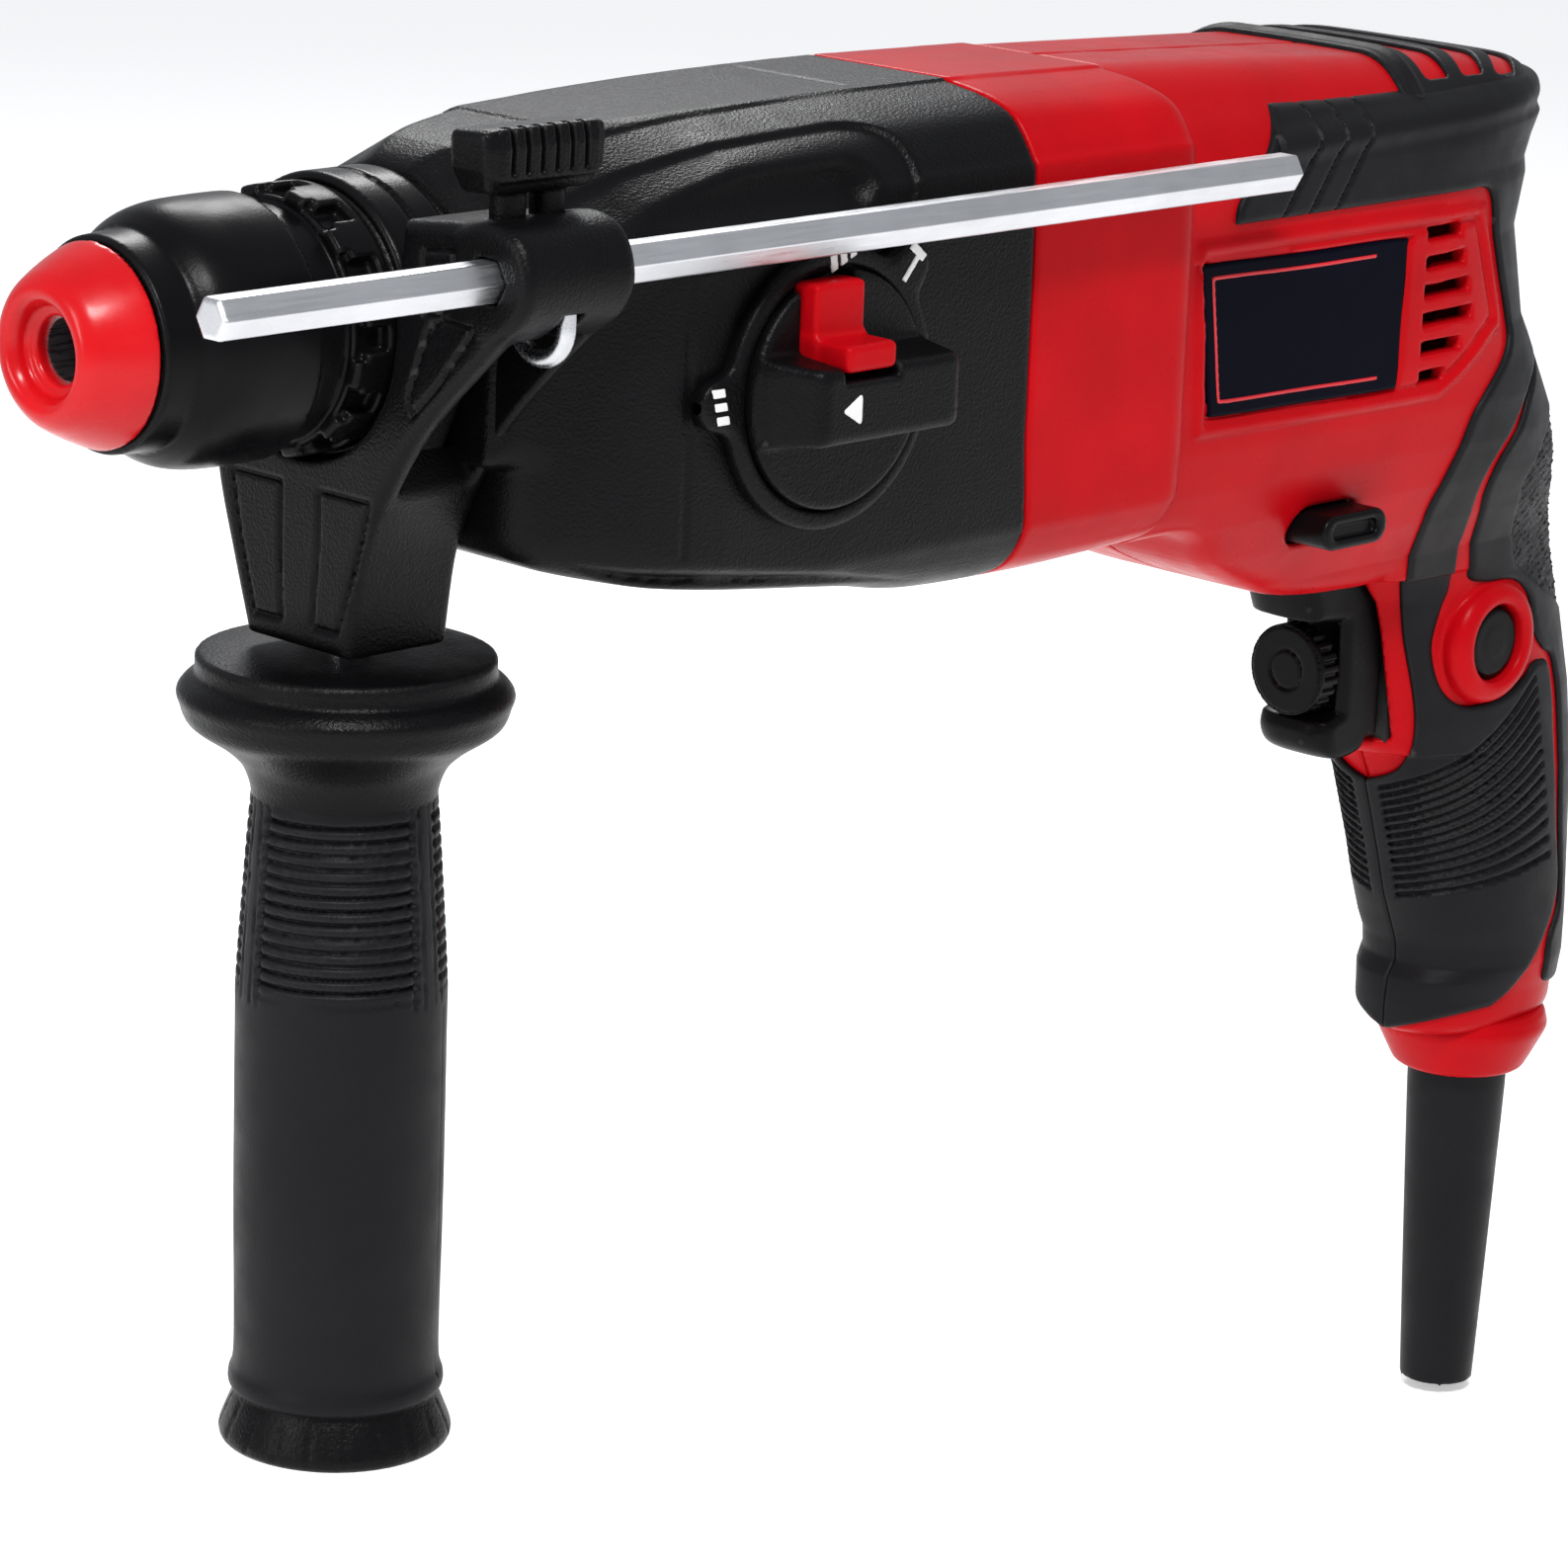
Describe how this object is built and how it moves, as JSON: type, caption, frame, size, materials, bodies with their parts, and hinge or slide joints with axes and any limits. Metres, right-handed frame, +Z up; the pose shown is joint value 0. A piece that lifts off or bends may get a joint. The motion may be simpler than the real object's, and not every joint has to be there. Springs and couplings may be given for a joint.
{
  "type": "rotary_hammer",
  "caption": "Corded rotary hammer: round tool chuck, black gearbox with a side mode selector, red motor casing, pistol-grip handle with trigger, side handle and hexagonal depth rod",
  "frame": {"origin": "centre of the tool bore's mouth, on the spindle axis", "axes": "+X from the nose to the rear handle, +Y to the tool's far side from the mode selector, +Z up, away from the side handle's foot"},
  "size_m": [0.3958, 0.0942, 0.2975],
  "materials": {
    "gloss_red": "glossy moulded plastic",
    "shell_red": "satin red glass-filled nylon",
    "satin_black": "satin black plastic",
    "grained_black": "fine grained black glass-filled nylon",
    "rubber_black": "soft moulded rubber",
    "steel": "ground steel",
    "cast_aluminium": "die-cast aluminium",
    "core_iron": "stacked iron plates under varnish",
    "copper": "enamelled copper",
    "brass": "stamped brass",
    "carbon": "pressed carbon",
    "label_navy": "printed label, dark navy"
  },
  "bodies": {
    "housing": {"gearbox_housing": "grained_black", "inner_flange": "cast_aluminium", "housing_screws": "steel", "spindle_bearing": "steel", "countershaft_bearings": "steel", "motor_bearings": "steel", "stator_core": "core_iron", "field_coils": "copper", "brush_holders": "brass", "carbon_brushes": "carbon", "motor_housing": "shell_red", "handle_shell_left": "shell_red", "handle_shell_right": "shell_red", "rear_rubber_left": "rubber_black", "rear_rubber_right": "rubber_black", "grip_pad_left": "rubber_black", "grip_pad_right": "rubber_black", "vent_cover": "satin_black", "label_panels": "label_navy", "selector_bezel": "grained_black", "switch_body": "grained_black", "trigger_spring": "steel", "cord_collar": "shell_red", "cord_sleeve": "rubber_black"},
    "spindle_group": {"spindle": "steel", "spindle_gear": "steel", "locking_balls": "steel", "chuck_ring": "satin_black", "nose_cap": "gloss_red", "sleeve_spring": "steel"},
    "sleeve_group": {"chuck_sleeve": "satin_black", "ball_retainer": "steel"},
    "countershaft_group": {"countershaft": "steel", "countershaft_gear": "steel", "wobble_hub": "steel"},
    "wobble_group": {"wobble_ring": "steel"},
    "piston_group": {"piston": "cast_aluminium"},
    "trunnion_group": {"trunnion_pin": "steel"},
    "striker_group": {"striker": "steel", "striker_seal": "rubber_black"},
    "beat_group": {"beat_piece": "steel"},
    "armature_group": {"armature_shaft": "steel", "armature_core": "core_iron", "commutator": "copper", "cooling_fan": "grained_black"},
    "selector_group": {"selector_knob": "satin_black", "selector_cam": "steel"},
    "selector_lock_group": {"selector_lock": "gloss_red"},
    "trigger_group": {"trigger": "satin_black"},
    "dial_group": {"speed_dial": "satin_black"},
    "lock_on_group": {"lock_on_button": "satin_black"},
    "direction_group": {"direction_bar": "satin_black"},
    "bracket_group": {"clamp_band": "satin_black", "handle_bracket": "grained_black", "clamp_bolt": "steel"},
    "grip_group": {"side_handle_core": "satin_black", "side_handle_grip": "grained_black"},
    "rod_group": {"depth_rod": "steel"},
    "depth_button_group": {"depth_button": "grained_black", "depth_stirrup": "steel"}
  },
  "joints": [
    {"name": "armature_spin", "type": "hinge", "parent": "housing", "child": "armature_group", "pos_m": [0.2, 0, -0.01125], "axis": [1, 0, 0], "continuous": true},
    {"name": "countershaft_spin", "type": "hinge", "parent": "housing", "child": "countershaft_group", "pos_m": [0.13, 0, -0.03125], "axis": [1, 0, 0], "continuous": true},
    {"name": "spindle_spin", "type": "hinge", "parent": "housing", "child": "spindle_group", "pos_m": [0.05, 0, 0], "axis": [1, 0, 0], "continuous": true},
    {"name": "sleeve_slide", "type": "slide", "parent": "spindle_group", "child": "sleeve_group", "axis": [1, 0, 0], "range_m": [0, 0.006], "stiffness_N_per_m": 600, "springref_m": -0.01, "deforming": ["sleeve_spring"]},
    {"name": "wobble_rock", "type": "hinge", "parent": "housing", "child": "wobble_group", "pos_m": [0.14, 0, -0.03125], "axis": [0, 1, 0], "range_deg": [-9, 9]},
    {"name": "piston_slide", "type": "slide", "parent": "housing", "child": "piston_group", "axis": [1, 0, 0], "range_m": [-0.00491, 0.00491]},
    {"name": "trunnion_turn", "type": "hinge", "parent": "piston_group", "child": "trunnion_group", "pos_m": [0.14, 0, 0], "axis": [0, 1, 0], "range_deg": [-9, 9]},
    {"name": "striker_slide", "type": "slide", "parent": "housing", "child": "striker_group", "axis": [1, 0, 0], "range_m": [-0.0015, 0.008]},
    {"name": "beat_slide", "type": "slide", "parent": "housing", "child": "beat_group", "axis": [1, 0, 0], "range_m": [0, 0.0012]},
    {"name": "selector_turn", "type": "hinge", "parent": "housing", "child": "selector_group", "pos_m": [0.1303, -0.045, -0.0142], "axis": [0, 1, 0], "range_deg": [0, 138]},
    {"name": "selector_lock_press", "type": "slide", "parent": "selector_group", "child": "selector_lock_group", "axis": [0, 0, -1], "range_m": [0, 0.0012], "stiffness_N_per_m": 800, "springref_m": -0.002},
    {"name": "trigger_pull", "type": "slide", "parent": "housing", "child": "trigger_group", "axis": [1, 0, 0], "range_m": [0, 0.006], "stiffness_N_per_m": 900, "springref_m": -0.006, "deforming": ["trigger_spring"]},
    {"name": "speed_dial_turn", "type": "hinge", "parent": "trigger_group", "child": "dial_group", "pos_m": [0.307, 0, -0.0976], "axis": [1, 0, 0], "range_deg": [-135, 135]},
    {"name": "lock_on_press", "type": "slide", "parent": "housing", "child": "lock_on_group", "axis": [0, 1, 0], "range_m": [0, 0.0025], "stiffness_N_per_m": 800, "springref_m": -0.002},
    {"name": "direction_push", "type": "slide", "parent": "housing", "child": "direction_group", "axis": [0, 1, 0], "range_m": [0, 0.0085]},
    {"name": "handle_swivel", "type": "hinge", "parent": "housing", "child": "bracket_group", "pos_m": [0.06, 0, 0], "axis": [1, 0, 0], "range_deg": [-90, 0]},
    {"name": "grip_turn", "type": "hinge", "parent": "bracket_group", "child": "grip_group", "pos_m": [0.0608, 0, -0.12], "axis": [0, 0, 1], "continuous": true},
    {"name": "depth_rod_slide", "type": "slide", "parent": "bracket_group", "child": "rod_group", "axis": [1, 0, 0], "range_m": [-0.14, 0.05]},
    {"name": "depth_button_press", "type": "slide", "parent": "bracket_group", "child": "depth_button_group", "axis": [0, 0, -1], "range_m": [0, 0.003], "stiffness_N_per_m": 900, "springref_m": -0.003}
  ],
  "couplings": [
    {"joint": "countershaft_spin", "follows": "armature_spin", "ratio": -0.29032},
    {"joint": "spindle_spin", "follows": "armature_spin", "ratio": 0.072581},
    {"joint": "piston_slide", "follows": "wobble_rock", "m_per_rad": 0.03125},
    {"joint": "trunnion_turn", "follows": "wobble_rock", "ratio": 1}
  ]
}
